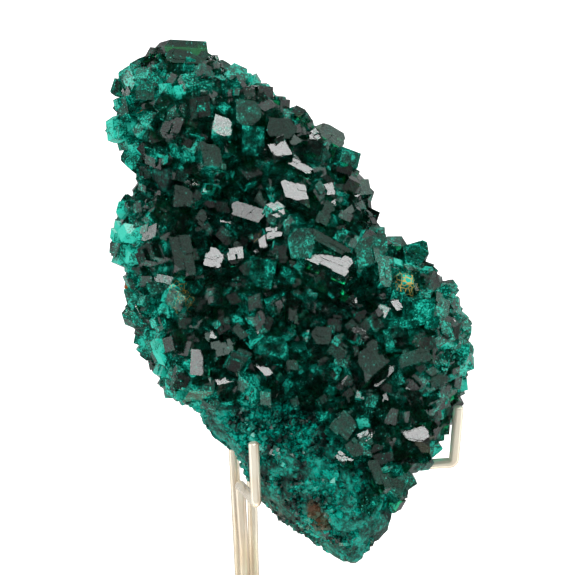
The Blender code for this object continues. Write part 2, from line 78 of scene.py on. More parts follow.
class Term:
    def __init__(self, paint, socket):
        self.paint, self.socket = paint, socket

    def math(self, kind, *values):
        return self.paint.node("ShaderNodeMath", {"operation": kind}, dict(enumerate(values)))

    def __add__(self, other):
        return self.math("ADD", self, other)

    def __sub__(self, other):
        return self.math("SUBTRACT", self, other)

    def __rsub__(self, other):
        return self.math("SUBTRACT", other, self)

    def __mul__(self, other):
        return self.math("MULTIPLY", self, other)

    def clipped(self):
        return self.paint.node("ShaderNodeClamp", {}, {"Value": self})

    def between(self, low, high, newLow=0.0, newHigh=1.0):
        values = {"Value": self, "From Min": low, "From Max": high, "To Min": newLow, "To Max": newHigh}
        return self.paint.node("ShaderNodeMapRange", {"interpolation_type": "SMOOTHSTEP"}, values)


class Paint:
    def __init__(self, name, world=None):
        self.material = world or bpy.data.materials.new(name)
        self.material.use_nodes = True
        self.tree = self.material.node_tree
        self.shader = self.tree.nodes.get("Principled BSDF")
        self.output = self.tree.nodes.get("Material Output")

    def node(self, kind, settings, values, out=0):
        made = self.tree.nodes.new(kind)
        for name, setting in settings.items():
            if name == "stops":
                ramp = made.color_ramp
                while len(ramp.elements) < len(setting):
                    ramp.elements.new(1.0)
                for element, (place, colour) in zip(ramp.elements, setting):
                    element.position = place
                    element.color = (*colour, 1)
            else:
                setattr(made, name, setting)
        for name, value in values.items():
            self.feed(made.inputs[name], value)
        return Term(self, made.outputs[out])

    def feed(self, socket, value):
        if isinstance(value, Term):
            self.tree.links.new(value.socket, socket)
        else:
            socket.default_value = value

    def set(self, **values):
        for name, value in values.items():
            self.feed(self.shader.inputs[name.replace("_", " ")], value)

    def noise(self, where, scale, detail, rough):
        values = {"Vector": where, "Scale": scale, "Detail": detail, "Roughness": rough}
        return self.node("ShaderNodeTexNoise", {}, values)

    # A Mix node takes its two colours at 6 and 7, and gives the mixed one at 2
    def mixed(self, share, first, second):
        values = {"Factor": share, 6: first, 7: second}
        return self.node("ShaderNodeMix", {"data_type": "RGBA"}, values, 2)

    def larger(self, first, second):
        return self.node("ShaderNodeMath", {"operation": "MAXIMUM"}, {0: first, 1: second})

    def bump(self, height, strength, distance):
        values = {"Height": height, "Strength": strength, "Distance": distance}
        return self.node("ShaderNodeBump", {}, values)

    def place(self):
        return self.node("ShaderNodeTexCoord", {}, {}, "Object")

    def attribute(self, name):
        return self.node("ShaderNodeAttribute", {"attribute_name": name}, {}, "Fac")


# A mesh that is placed here is also kept inside the box of the solids
def addObject(name, mesh, placed=None, smooth=False):
    if placed is not None:
        mesh.transform(placed)
        points = np.array([v.co for v in mesh.vertices]).clip(*cadBox)
        mesh.vertices.foreach_set("co", points.astype(np.float32).ravel())
    if smooth:
        mesh.shade_smooth()
    else:
        mesh.shade_flat()
    made = bpy.data.objects.new(name, mesh)
    bpy.context.scene.collection.objects.link(made)
    return made


def show(piece, slot, *nodes):
    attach(piece, "root")
    if nodes:
        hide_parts(*nodes)


# The plate of rock

rock = {
    "outline": [
        (-14.6, 43.0), (-6.8, 38.4), (-0.8, 33.4), (6.8, 28.0), (12.6, 20.4),
        (14.8, 13.2), (18.4, 7.4), (24.8, 4.2), (28.6, 1.2), (32.8, -6.4),
        (34.0, -14.8), (31.6, -21.6), (28.4, -29.2), (21.8, -34.8), (21.2, -38.8),
        (18.4, -46.6), (13.4, -52.6), (9.6, -52.6), (3.4, -46.0), (-4.4, -40.8), (-9.8, -31.8),
        (-15.6, -24.4), (-22.2, -18.4), (-26.6, -11.0), (-28.4, -2.2), (-30.0, 4.8),
        (-32.4, 11.4), (-30.4, 15.6), (-26.2, 19.8), (-29.4, 26.4), (-31.8, 31.2),
        (-32.6, 36.6), (-29.4, 42.0), (-23.2, 44.2),
    ],
    "middle": (0.0, -2.0),
    "front": 8.0,
    "back": 9.5,
    "rim": 10.0,
    "tipBack": {"v": (-34.0, -20.0), "left": 8.5, "right": 5.0, "u": (4.0, 20.0)},
    "edgeDrop": (32.0, -25.0, 10.0, 6.5),
    "swells": [
        (-19.0, 32.0, 10.0, 3.0), (0.0, 22.0, 10.0, 3.5), (-24.0, 9.0, 8.0, 3.0),
        (-10.0, 13.5, 7.0, -4.0), (7.0, 7.0, 8.0, 6.0), (-8.0, -3.0, 9.0, 3.0),
        (-18.0, -12.0, 7.0, 3.5), (24.0, -9.0, 9.0, 5.5), (6.0, -19.0, 8.0, -4.5),
        (5.0, -38.0, 11.0, 2.5), (-3.0, -34.0, 8.0, 3.0), (25.0, -25.0, 6.0, 2.0),
        (14.0, 0.0, 5.0, -3.0),
    ],
    "rough": (1.5, 8.0),  # depth, then size
    "grain": [(0.5, 3.1), (0.25, 1.3)],      # depth, then size
    "pebbles": [(0.9, 2.6), (0.5, 1.15)],    # depth, then size
    "pebbleLevel": 0.45,
    "coarse": 4,
    "fine": 7,
    "sunk": 0.3,
    "bareLine": [(-12.0, -21.0), (2.0, -21.5), (10.0, -27.0), (14.0, -31.0), (20.0, -36.0)],
    "bareEdge": {"u": -24.0, "v": (-14.0, 30.0), "looks": 0.3},
    "bareLooks": -0.45,  # rock that faces further back than this is bare
    "pale": [  # where the green is lightest: u, v, reach, amount
        (-31.8, 33.7, 6.0, 0.6), (-30.9, 26.0, 5.0, 0.5), (-31.5, 10.9, 6.0, 0.8),
        (-27.5, -2.4, 5.5, 0.6), (-25.5, -11.9, 5.5, 0.6), (-18.5, -21.8, 5.5, 0.6),
        (-11.0, -28.0, 6.0, 0.45), (6.2, -36.6, 11.0, 0.45), (-3.3, -24.0, 5.0, 0.35),
        (-20.4, 37.5, 8.0, 0.35), (-7.0, 40.0, 5.0, 0.3), (27.0, -6.2, 8.0, 0.3),
        (19.5, 7.1, 6.0, 0.35), (31.8, -11.9, 5.0, 0.35), (12.0, -47.0, 6.0, 0.3),
    ],
    "rust": [
        (5.0, -41.3, 2.2, 1.0), (6.6, -44.6, 1.8, 0.9), (2.2, -38.5, 1.3, 0.6), (-29.0, 34.9, 0.8, 1.3),
        (-27.5, 33.3, 0.7, 1.1), (-29.0, -0.1, 0.9, 1.2), (-27.1, -3.9, 0.7, 1.1), (-27.5, -7.5, 0.7, 1.1),
        (-13.5, -36.0, 1.6, 0.8), (-6.0, -42.0, 1.5, 0.8),
    ],
    "gold": [(22.3, 0.5, 2.0, 1.0), (-19.9, -1.0, 1.8, 0.7), (-6.5, 8.5, 1.2, 0.6)],
    "ground": 0.08,
    "behind": {"depth": 8.0, "pale": 0.25, "rust": 0.6},
}


def outlineReach(azimuth):
    corners = np.array(rock["outline"]) - rock["middle"]
    angles = np.arctan2(corners[:, 1], corners[:, 0])
    order = np.argsort(angles)
    reach = np.hypot(corners[:, 0], corners[:, 1])[order]
    return np.interp(azimuth, angles[order], reach, period=2 * math.pi)


def distanceToOutline(points):
    corners = np.array(rock["outline"])
    nearest = np.full(len(points), np.inf)
    for start, end in zip(corners, np.roll(corners, -1, axis=0)):
        side = end - start
        share = np.clip((points - start) @ side / (side @ side), 0, 1)
        gap = np.linalg.norm(points - start - share[:, None] * side, axis=1)
        nearest = np.minimum(nearest, gap)
    return nearest


def blobs(points, spots):
    total = np.zeros(len(points))
    for u, v, reach, height in spots:
        away = np.hypot(points[:, 0] - u, points[:, 1] - v)
        total += height * np.exp(-((away / reach) ** 2))
    return total


def backDepth(points, rise):
    tipBack = rock["tipBack"]
    tip = np.interp(points[:, 0], tipBack["u"], (tipBack["left"], tipBack["right"]))
    upper = np.clip(np.interp(points[:, 1], tipBack["v"], (0, 1)), 0, 1)
    return rise * (tip + (rock["back"] - tip) * upper)


def rough(place):
    apart = Vector((19.1, 7.3, 31.7))
    return Vector([noise.noise(place + apart * axis) for axis in range(3)])


# How far fine relief lifts a place on the rock, in millimetres
def relief(place):
    lift = sum(deep * noise.noise(place / size) for deep, size in rock["grain"])
    for deep, size in rock["pebbles"]:
        lift += deep * (rock["pebbleLevel"] - noise.voronoi(place / size)[0][0])
    return lift


def rockPlate(fineness):
    form = bmesh.new()
    bmesh.ops.create_icosphere(form, subdivisions=fineness, radius=1)
    ball = np.array([v.co for v in form.verts])
    spread = np.hypot(ball[:, 0], ball[:, 1])
    azimuth = np.arctan2(ball[:, 1], ball[:, 0])
    reach = outlineReach(azimuth) * np.arcsin(np.clip(spread, 0, 1)) * 2 / math.pi
    flat = np.stack([np.cos(azimuth), np.sin(azimuth)], axis=1) * reach[:, None]
    flat += rock["middle"]
    inside = np.clip(distanceToOutline(flat) / rock["rim"], 0, 1)
    rise = np.sqrt(1 - (1 - inside) ** 2)
    front = rise * (rock["front"] + blobs(flat, rock["swells"]))
    height = np.where(ball[:, 2] > 0, front, -backDepth(flat, rise))
    u, v, reach, drop = rock["edgeDrop"]
    height -= blobs(flat, [(u, v, reach, drop)])
    depth, size = rock["rough"]
    for vertex, (u, v), w in zip(form.verts, flat, height):
        place = Vector((u, v, w))
        vertex.co = (place + rough(place / size) * depth) * mm
    return form


def roughened(form, sunk):
    form.normal_update()
    moved = [v.co + v.normal * (relief(v.co / mm) - sunk) * mm for v in form.verts]
    for vertex, place in zip(form.verts, moved):
        vertex.co = place
    return form


def toMesh(form, name):
    mesh = bpy.data.meshes.new(name)
    form.to_mesh(mesh)
    form.free()
    return mesh


print("growing the plate of rock")
coarse = toMesh(rockPlate(rock["coarse"]), "coarse")
coarse.calc_loop_triangles()
coarsePoints = [v.co for v in coarse.vertices]
coarseTree = BVHTree.FromPolygons(coarsePoints, [t.vertices for t in coarse.loop_triangles])

# The stand's wires

stand = {
    "radius": 1.0,
    "bend": 2.4,
    "bendSteps": 14,
    "sides": 28,
    "blunt": 0.45,      # how far each free end is rounded
    "bluntSteps": 6,
    "foot": 4.0,
    "gap": 0.3,
    "clear": 1.3,       # how many of its radii a crystal's middle keeps from a wire
    "bundle": {"left": (0.0, -1.0), "right": (1.15, 1.0), "back": (-1.15, 1.0)},
    "leftHook": {"at": (3.5, -25.7), "arm": (45.2, 45.2), "top": 59.0},
    "rightHook": {"at": (42.7, -10.2), "arm": (46.2, 46.5), "top": 59.2},
    "backElbow": 52.0,
    "backRest": (-10.5, 6.0),
    "restProbes": {"u": (-12, -10.5, -9), "v": range(-2, 9)},
}


def hookCorners(side, hook):
    x, y = stand["bundle"][side]
    start, end = hook["arm"]
    return [
        Vector((x, y, stand["foot"])),
        Vector((x, y, start)),
        Vector((*hook["at"], end)),
        Vector((*hook["at"], hook["top"])),
    ]


def backCorners():
    deepest = 0
    for v in stand["restProbes"]["v"]:
        for u in stand["restProbes"]["u"]:
            hit = coarseTree.ray_cast(Vector((u, v, -far)) * mm, Vector((0, 0, 1)))[0]
            deepest = min(deepest, hit.z / mm)
    rest = Vector((*stand["backRest"], deepest - stand["radius"] - stand["gap"]))
    x, y = stand["bundle"]["back"]
    elbow = Vector((x, y, stand["backElbow"]))
    return [Vector((x, y, stand["foot"])), elbow, (placing @ (rest * mm)) / mm]


routes = {
    "leftHookWire": hookCorners("left", stand["leftHook"]),
    "rightHookWire": hookCorners("right", stand["rightHook"]),
    "backRestWire": backCorners(),
}
runs = [run for route in routes.values() for run in zip(route, route[1:])]


def distanceToRun(point, run):
    start, end = run
    side = end - start
    share = max(0.0, min(1.0, (point - start).dot(side) / side.dot(side)))
    return (point - start - side * share).length


def clearOfWires(centre, size):
    inStand = (placing @ (centre * mm)) / mm
    reach = stand["clear"] * size + stand["radius"] + stand["gap"]
    return all(distanceToRun(inStand, run) > reach for run in runs)


# Crystals

growth = {
    "seed": 7,
    "slope": 51.0,
    "habits": 14,
    "habit": {"lengths": (0.72, 1.05), "uneven": (0.85, 1.12)},
    "tries": 9000,
    "sizes": (1.5, 3.9, 2.3),  # smallest, largest, usual
    "crowding": 0.82,
    "standsOff": {"face": 0.22, "rim": -0.15, "faceLooks": 0.4},
    "wander": 0.55,
    "steps": (3, 7),          # smaller blocks grown in step with each crystal
    "stepSizes": (0.3, 0.8),
    "stepRise": (0.03, 0.22),
    "stepSpots": (0.1, 0.8),  # from the middle of a face to its corner
    "stepSunk": 0.86,
    "smallSeed": 21,
    "smallHabits": 24,
    "smallHabit": {"lengths": (0.75, 1.0), "uneven": (0.85, 1.1)},
    "fillTries": 12000,
    "fillSizes": (0.8, 3.0, 1.7),
    "fillCrowding": 0.50,
    "fillRise": 0.25,
    "fillCell": 4.0,
    "grainTries": 14000,
    "grainSizes": (0.3, 1.0, 0.5),
    "grainSunk": (0.1, 0.5),
    "grainClear": 0.8,
    "boxMargin": 1.1,
    "milkySpread": 0.05,      # between crystals that are given the same milkiness
    "veilSpread": 0.25,       # between the faces of one crystal
}


def cutFace(form, normal, reach):
    everything = form.verts[:] + form.edges[:] + form.faces[:]
    place = normal * reach
    cut = bmesh.ops.bisect_plane(form, geom=everything, plane_co=place, plane_no=normal, clear_outer=True)
    rim = [e for e in cut["geom_cut"] if isinstance(e, bmesh.types.BMEdge)]
    bmesh.ops.contextual_create(form, geom=rim)


# A hexagonal prism with a rhombohedron's three faces at either end
def crystalHabit(dice, lengths, uneven):
    form = bmesh.new()
    bmesh.ops.create_cone(form, cap_ends=True, segments=6, radius1=1, radius2=1, depth=8)
    length = dice.uniform(*lengths)
    slope = math.radians(growth["slope"])
    for end, first in ((1, 30), (-1, 90)):
        for side in range(3):
            azimuth = math.radians(first + 120 * side)
            across = math.sin(slope)
            normal = Vector((math.cos(azimuth) * across, math.sin(azimuth) * across, 0))
            normal.z = end * math.cos(slope)
            cutFace(form, normal, length * dice.uniform(*uneven))
    bmesh.ops.recalc_face_normals(form, faces=form.faces)
    return toMesh(form, "habit")


# The leading crystals, distorted blocks that each show one broad face: its middle in u and v,
# its length and width, the way its length runs, its azimuth and tilt, its slant, and how
# milky the crystal is
leading = {
    "crystals": [
        (-19.1, 44.6, 8.4, 4.6, 0, 50, 23, -6, 0.1), (-14.2, 42.5, 3.2, 2.5, 100, 70, 30, 10, 0.5),
        (-32.6, 37.9, 2.9, 1.9, 70, 170, 35, 10, 0.3), (-26.7, 36.8, 3.4, 3.2, 0, 60, 20, 5, 0.3),
        (-12.3, 30.3, 4.0, 3.4, 80, 90, 30, 12, 0.9), (-6.6, 36.6, 3.2, 2.7, 90, 175, 30, 5, 0.1),
        (-7.3, 32.8, 4.9, 4.8, 90, 48, 20, 4, 0.45), (-6.4, 27.5, 5.5, 4.2, 90, 20, 8, 3, 0.65),
        (-1.2, 30.1, 5.3, 3.6, 0, 50, 22, 15, 0.3), (-1.4, 25.9, 3.4, 3.2, 15, 90, 31, -10, 0.1),
        (2.2, 22.9, 4.9, 1.5, -33, 88, 31, 20, 0.1), (8.5, 29.0, 5.3, 3.0, -25, 25, 33, 15, 0.55),
        (12.6, 23.7, 3.2, 1.5, 75, 30, 33, 20, 0.3), (10.0, 24.8, 3.4, 0.9, 5, 90, 31, 20, 0.0),
        (1.4, 18.0, 4.9, 3.4, -20, 90, 31, -35, 0.0), (-7.7, 14.3, 8.0, 2.7, -17, 172, 28, 15, 0.02),
        (-4.8, 16.8, 2.7, 2.3, 60, 50, 24, 12, 0.1), (-2.4, 10.4, 2.7, 2.1, 8, 90, 31, -5, 0.0),
        (-4.5, 8.6, 2.3, 2.1, 40, 95, 30, 15, 0.0), (-13.8, 5.6, 4.2, 3.4, 80, 92, 31, 6, 0.05),
        (-23.3, 1.6, 3.8, 1.5, -10, 175, 29, 20, 0.3), (-26.1, 10.2, 3.6, 2.3, 20, 172, 30, 25, 0.5),
        (-19.7, 6.4, 6.5, 3.8, 100, 52, 21, 8, 0.02), (-19.5, 17.2, 3.8, 3.4, 90, 50, 20, 6, 0.4),
        (-29.2, 25.2, 5.1, 4.8, 60, 150, 35, 10, 0.6), (-14.2, 24.8, 4.4, 3.6, 100, 45, 22, 12, 0.5),
        (2.6, 8.3, 5.7, 4.9, 100, 240, 14, 8, 0.55), (7.1, 8.8, 8.7, 1.9, -28, 45, 24, 20, 0.4),
        (8.5, 5.2, 6.8, 3.8, -28, 90, 31, 10, 0.05), (10.9, -1.6, 3.6, 2.5, -20, 90, 31, -25, 0.0),
        (15.9, 7.1, 6.5, 5.1, 20, 48, 20, 15, 0.55), (18.3, 3.1, 6.1, 2.7, 95, 24, 32, 10, 0.45),
        (22.9, 4.8, 3.2, 1.5, 80, 20, 33, 20, 0.2), (24.4, 6.6, 5.1, 4.2, 20, 60, 30, 15, 0.65),
        (24.8, -4.7, 5.5, 4.6, 10, 30, 10, 12, 0.6), (29.2, -4.1, 4.4, 2.9, 80, 15, 32, 12, 0.3),
        (27.1, 2.9, 2.9, 2.3, 60, 60, 30, 12, 0.4), (6.4, -9.0, 3.8, 3.4, 0, 48, 22, 6, 0.2),
        (15.9, -13.4, 5.7, 4.9, 40, 52, 21, 10, 0.05), (17.8, -16.6, 5.1, 1.7, 44, 175, 30, 0, 0.1),
        (23.8, -13.0, 6.3, 2.5, 18, 50, 20, 10, 0.35), (26.7, -12.4, 3.6, 1.3, 88, 175, 28, 5, 0.5),
        (33.3, -6.4, 3.2, 2.7, -40, 30, 36, 12, 0.4), (-17.0, -14.0, 4.8, 2.7, 88, 175, 30, 4, 0.05),
        (-3.1, -10.9, 5.9, 3.6, -8, 120, 14, 5, 0.8), (-4.8, -14.9, 4.6, 1.5, -50, 90, 31, 5, 0.05),
        (-9.0, -8.3, 3.0, 1.7, -45, 48, 22, 15, 0.3), (-15.9, -18.1, 4.6, 2.9, 0, 60, 26, 10, 0.5),
        (24.0, -27.3, 5.3, 3.6, -8, 92, 31, -12, 0.0), (10.9, -25.9, 4.2, 3.8, 55, 48, 22, 8, 0.55),
        (10.2, -32.0, 2.3, 1.5, -40, 90, 31, 12, 0.1), (16.8, -34.7, 4.9, 2.1, -70, 50, 24, 10, 0.2),
        (20.4, -36.6, 4.9, 4.4, 65, 45, 20, 5, 0.45), (15.3, -40.6, 3.8, 3.0, 60, 200, 10, 5, 0.4),
        (12.6, -30.3, 3.4, 2.7, -50, 48, 24, 8, 0.5), (30.9, -19.5, 3.4, 2.3, 30, 20, 32, 12, 0.2),
        (-16.2, 13.2, 2.9, 1.9, 60, 50, 22, 12, 0.3), (12.3, 17.2, 1.9, 1.1, -20, 90, 31, 15, 0.0),
        (20.6, -3.3, 2.3, 1.5, -60, 90, 30, 12, 0.3), (16.1, 10.7, 2.7, 1.9, 60, 90, 31, 15, 0.3),
        (7.3, 14.3, 4.0, 1.7, 65, 48, 22, 8, 0.3), (11.3, 14.2, 3.2, 1.3, 35, 20, 33, 10, 0.2),
        (1.0, -4.5, 3.8, 1.5, 85, 60, 26, 5, 0.1), (1.0, -14.5, 2.5, 1.9, 10, 48, 22, 12, 0.4),
        (-4.8, 2.8, 5.1, 4.6, 80, 20, 8, 3, 0.75), (28.4, -17.0, 3.4, 2.5, 20, 52, 22, 10, 0.3),
        (-11.9, -11.5, 3.8, 2.3, 15, 20, 32, 12, 0.2),
    ],
    "depth": (2.5, 0.9),
    "rise": (1.7, 0.5),
    "radius": 0.6,
    "spread": 1.12,
    "cuts": 3,
    "cutDepth": (0.08, 0.28),
    "cutAcross": (0.4, 1),
    "cutOut": (0, 0.4),
    "steps": (1, 4),
    "stepSizes": (0.25, 0.6),
    "stepRise": (0.06, 0.22),
    "stepSpots": (0.2, 0.9),  # from the middle of the broad face to its corner
}


# A slanted block with its broad face at z = 0, wider below, and some corners cut
def crystalBlock(dice, length, width, slant):
    depth = leading["depth"][0] + leading["depth"][1] * math.sqrt(length * width)
    lean = math.tan(math.radians(slant))
    form = bmesh.new()
    bmesh.ops.create_cube(form, size=1)
    for vertex in form.verts:
        x, y, z = vertex.co
        spread = 1 if z > 0 else leading["spread"]
        x = (x * length + y * width * lean) * spread
        vertex.co = (x, y * width * spread, (z - 0.5) * depth)
    for _ in range(leading["cuts"]):
        x, y = dice.choice((-0.5, 0.5)), dice.choice((-0.5, 0.5))
        corner = Vector((x * length + y * width * lean, y * width, 0))
        normal = Vector((x * dice.uniform(*leading["cutAcross"]), y * dice.uniform(*leading["cutAcross"]), 0))
        normal.z = dice.uniform(*leading["cutOut"])
        normal.normalize()
        cutDepth = dice.uniform(*leading["cutDepth"]) * min(length, width)
        cutFace(form, normal, corner.dot(normal) - cutDepth)
    bmesh.ops.recalc_face_normals(form, faces=form.faces)
    return toMesh(form, "block")


def faceTurn(along, azimuth, tilt):
    along, azimuth, tilt = (math.radians(a) for a in (along, azimuth, tilt))
    look = Matrix.Rotation(azimuth, 4, "Z") @ Matrix.Rotation(tilt, 4, "Y")
    return look @ Matrix.Rotation(along - azimuth, 4, "Z")


# A crystal is kept as its centre and radius, its placing, its shape and how milky it is
def leadingCrystals(dice):
    made = []
    for u, v, length, width, along, azimuth, tilt, slant, milky in leading["crystals"]:
        place = coarseTree.ray_cast(Vector((u, v, far)) * mm, Vector((0, 0, -1)))[0]
        if place is None:
            place = coarseTree.find_nearest(Vector((u, v, 0)) * mm)[0]
        side = math.sqrt(length * width)
        size = leading["radius"] * side
        block = crystalBlock(dice, length, width, slant)
        face = Vector((u, v, place.z / mm + leading["rise"][0] + leading["rise"][1] * side))
        turn = faceTurn(along, azimuth, tilt)
        centre = face - turn.to_3x3() @ Vector((0, 0, size))
        placed = Matrix.Translation(face * mm) @ turn @ Matrix.Scale(mm, 4)
        if clearOfWires(face, size):
            made.append((centre, size, placed, block, milky))
    return made


def randomTurn(normal, dice):
    spin = dice.uniform(0, 2 * math.pi)
    sideways = Vector([dice.gauss(0, growth["wander"]) for _ in range(3)])
    upright = (normal + sideways).normalized().to_track_quat("Z", "Y")
    return upright.to_matrix().to_4x4() @ Matrix.Rotation(spin, 4, "Z")


def surfaceSamples(dice, count):
    triangles = list(coarse.loop_triangles)
    weights = [t.area for t in triangles]
    for triangle in dice.choices(triangles, weights, k=count):
        corners = [coarse.vertices[i].co for i in triangle.vertices]
        a, b = sorted((dice.random(), dice.random()))
        place = corners[0] * a + corners[1] * (b - a) + corners[2] * (1 - b)
        yield place / mm, triangle.normal.copy()


def isBare(place, normal):
    if normal.z < rock["bareLooks"]:
        return True
    lineU, lineV = zip(*rock["bareLine"])
    if place.y < np.interp(place.x, lineU, lineV) and place.x < lineU[-1]:
        return True
    low, high = rock["bareEdge"]["v"]
    byEdge = place.x < rock["bareEdge"]["u"] and low < place.y < high
    return byEdge and normal.z < rock["bareEdge"]["looks"]


def placedAt(centre, turn, size):
    return Matrix.Translation(centre * mm) @ turn @ Matrix.Scale(size * mm, 4)


# The leading crystals and the large ones between them, where the solid has them
def largeCrystals():
    dice = random.Random(growth["seed"])
    habits = [crystalHabit(dice, **growth["habit"]) for _ in range(growth["habits"])]
    made = leadingCrystals(dice)
    low, high, usual = growth["sizes"]
    for place, normal in surfaceSamples(dice, growth["tries"]):
        size = dice.triangular(low, high, usual)
        turn = randomTurn(normal, dice)
        habit = dice.choice(habits)
        onFace = normal.z > growth["standsOff"]["faceLooks"]
        centre = place + normal * size * growth["standsOff"]["face" if onFace else "rim"]
        crowded = any((centre - c).length < growth["crowding"] * (size + s) for c, s, *_ in made)
        if crowded or isBare(place, normal) or not clearOfWires(centre, size):
            continue
        made.append((centre, size, placedAt(centre, turn, size), habit, None))
    return made


# Smaller blocks in step with a crystal: same directions, a little proud of one of its faces
def steppedBlocks(large, habits, dice):
    blocks = []
    for centre, size, placed, shape, milky in large:
        lead = milky is not None
        facts = leading if lead else growth
        for _ in range(dice.randint(*facts["steps"])):
            share = dice.uniform(*facts["stepSizes"])
            if lead:
                corner = shape.vertices[dice.randrange(len(shape.vertices))].co
                corner = corner * dice.uniform(*facts["stepSpots"])
                spot = Vector((corner.x, corner.y, dice.uniform(*facts["stepRise"])))
                form = shape
            else:
                face = dice.choice(shape.polygons)
                corner = shape.vertices[dice.choice(face.vertices)].co
                spot = face.center.lerp(corner, dice.uniform(*facts["stepSpots"]))
                spot = spot - face.normal * (share * facts["stepSunk"] - dice.uniform(*facts["stepRise"]))
                form = dice.choice(habits)
            step = placed @ Matrix.Translation(spot) @ Matrix.Scale(share, 4)
            place = step.translation / mm
            if clearOfWires(place, size * share):
                blocks.append((place, size * share, step, form, milky))
    return blocks


# Crystals between the large ones. Those that are kept are filed by cell, to find neighbours fast
def fillCrystals(taken, habits, dice):
    low, high, usual = growth["fillSizes"]
    rise = growth["fillRise"]
    cell = growth["fillCell"]
    cells = {}

    def near(point):
        a, b, c = (math.floor(x / cell) for x in point)
        for i in (-1, 0, 1):
            for j in (-1, 0, 1):
                for k in (-1, 0, 1):
                    yield from cells.get((a + i, b + j, c + k), ())

    def keep(point, size):
        cells.setdefault(tuple(math.floor(x / cell) for x in point), []).append((point, size))

    for centre, size, *_ in taken:
        keep(centre, size)
    made = []
    for place, normal in surfaceSamples(dice, growth["fillTries"]):
        size = dice.triangular(low, high, usual)
        turn = randomTurn(normal, dice)
        habit = dice.choice(habits)
        centre = place + normal * size * dice.uniform(-rise, rise)
        crowded = any((centre - c).length < growth["fillCrowding"] * (size + s) for c, s in near(centre))
        if crowded or isBare(place, normal) or not clearOfWires(centre, size):
            continue
        keep(centre, size)
        made.append((centre, size, placedAt(centre, turn, size), habit, None))
    return made


# Grains sunk in the bare rock
def grainCrystals(taken, habits, dice):
    low, high, usual = growth["grainSizes"]
    tree = kdtree.KDTree(len(taken))
    for index, (centre, *_) in enumerate(taken):
        tree.insert(centre, index)
    tree.balance()
    made = []
    for place, normal in surfaceSamples(dice, growth["grainTries"]):
        size = dice.triangular(low, high, usual)
        turn = randomTurn(normal, dice)
        habit = dice.choice(habits)
        _, index, away = tree.find(place)
        covered = away < taken[index][1] * growth["grainClear"]
        if not isBare(place, normal) or covered or not clearOfWires(place, size):
            continue
        centre = place - normal * (rock["sunk"] + size * dice.uniform(*growth["grainSunk"]))
        if insideCadBox(centre, size):
            made.append((centre, size, placedAt(centre, turn, size), habit, None))
    return made


def insideCadBox(centre, reach):
    low, high = (Vector(corner) / mm for corner in cadBox)
    spot = (placing @ (centre * mm)) / mm
    return all(low[i] + reach < spot[i] < high[i] - reach for i in range(3))


# Sorts crystals into groups in which no two touch, so that each group is a clean closed mesh
def apartGroups(crystals):
    balls = []
    for _, _, placed, shape, _ in crystals:
        points = [placed @ v.co / mm for v in shape.vertices]
        middle = sum(points, Vector()) / len(points)
        balls.append((middle, max((p - middle).length for p in points)))
    tree = kdtree.KDTree(len(balls))
    for index, (middle, _) in enumerate(balls):
        tree.insert(middle, index)
    tree.balance()
    widest = max(reach for _, reach in balls)
    groups = [None] * len(balls)
    for index, (middle, reach) in enumerate(balls):
        used = set()
        for _, other, away in tree.find_range(middle, reach + widest):
            if away < reach + balls[other][1] and groups[other] is not None:
                used.add(groups[other])
        groups[index] = next(g for g in range(len(balls)) if g not in used)
    return groups


# What colour depends on: how pale, how rusty and how golden each place is
def stains(points):
    points = np.array(points)
    back = rock["behind"]
    behind = np.clip(-points[:, 2] / back["depth"], 0, 1)
    pale = np.clip(rock["ground"] + blobs(points, rock["pale"]) + back["pale"] * behind, 0, 1)
    before = points[:, 2] > 0
    rust = blobs(points, rock["rust"]) * before + back["rust"] * behind
    return {"pale": pale, "rust": rust, "gold": blobs(points, rock["gold"]) * before}


# One mesh of many crystals, whose faces carry how veiled and how stained they are
def crystalMesh(crystals, name, dice):
    points, faces, veils = [], [], []
    between, within = growth["milkySpread"], growth["veilSpread"]
    for _, _, placed, shape, milky in crystals:
        first = len(points)
        amount = dice.random() if milky is None else milky + dice.uniform(-between, between)
        points += [placed @ v.co for v in shape.vertices]
        faces += [[first + i for i in p.vertices] for p in shape.polygons]
        veils += [amount + dice.uniform(-within, within) for _ in shape.polygons]
    mesh = bpy.data.meshes.new(name)
    mesh.from_pydata(points, [], faces)
    counts = [len(shape.polygons) for _, _, _, shape, _ in crystals]
    layers = stains([centre for centre, *_ in crystals])
    layers = {layer: np.repeat(values, counts) for layer, values in layers.items()}
    for layer, values in {"veil": veils, **layers}.items():
        mesh.attributes.new(layer, "FLOAT", "FACE").data.foreach_set("value", values)
    return mesh


# All crystals joined in one closed skin, with the start mesh where there is one
def united(crystals, name, dice, start=None):
    groups = apartGroups(crystals)
    print(len(crystals), "pieces in", max(groups) + 1, "groups")
    helpers = [addObject("start", start)] if start else []
    for group in range(max(groups) + 1):
        members = [c for c, g in zip(crystals, groups) if g == group]
        helpers.append(addObject("group", crystalMesh(members, "group", dice)))
    base = helpers[0]
    for other in helpers[1:]:
        join = base.modifiers.new("join", "BOOLEAN")
        join.operation = "UNION"
        join.solver = "MANIFOLD"
        join.object = other
    bpy.context.view_layer.update()
    mesh = bpy.data.meshes.new_from_object(base.evaluated_get(bpy.context.evaluated_depsgraph_get()))
    mesh.name = name
    for helper in helpers:
        bpy.data.objects.remove(helper)
    return mesh


# Lumps of broken rock on the bare back, tip and edge
lumps = {
    "seed": 8,
    "most": 46,
    "tries": 900,
    "sizes": (2.6, 6.0),
    "corners": 16,
    "bulge": (0.88, 1.04),  # how far out the corners lie
    "cuts": 7,
    "relief": 0.8,
    "sunk": 0.6,
    "apart": 0.6,
    "clear": 0.8,
}


